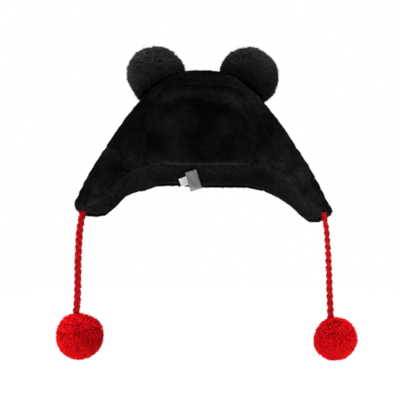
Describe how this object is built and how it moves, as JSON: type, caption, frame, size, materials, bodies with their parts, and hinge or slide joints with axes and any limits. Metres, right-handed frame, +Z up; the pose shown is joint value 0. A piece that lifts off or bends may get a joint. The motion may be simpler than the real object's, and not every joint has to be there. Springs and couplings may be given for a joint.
{
  "type": "laplander hat",
  "caption": "Warm plush hat with a domed crown, turned-up visor, flared ear flaps, fur pompoms on the crown and braided cords that end in pompoms.",
  "frame": {"origin": "top of the hollow, where the wearer's head carries the hat", "axes": "+Z up, -Y out of the front, +X to the right as seen from the front"},
  "size_m": [0.3878, 0.2303, 0.4064],
  "materials": {
    "black_fur": "short-pile faux fur",
    "black_plush": "smooth plush",
    "red_fur": "faux fur",
    "red_yarn": "braided yarn",
    "grey_ribbon": "satin ribbon",
    "white_ribbon": "satin ribbon"
  },
  "bodies": {
    "root": {"crown": "black_fur", "visor": "black_fur", "left_ear_flap": "black_fur", "right_ear_flap": "black_fur", "nape_panel": "black_fur", "lining": "black_plush", "left_ear_pompom": "black_fur", "right_ear_pompom": "black_fur", "left_cord": "red_yarn", "right_cord": "red_yarn", "left_cord_pompom": "red_fur", "right_cord_pompom": "red_fur", "grey_label": "grey_ribbon", "white_label": "white_ribbon"}
  },
  "joints": []
}
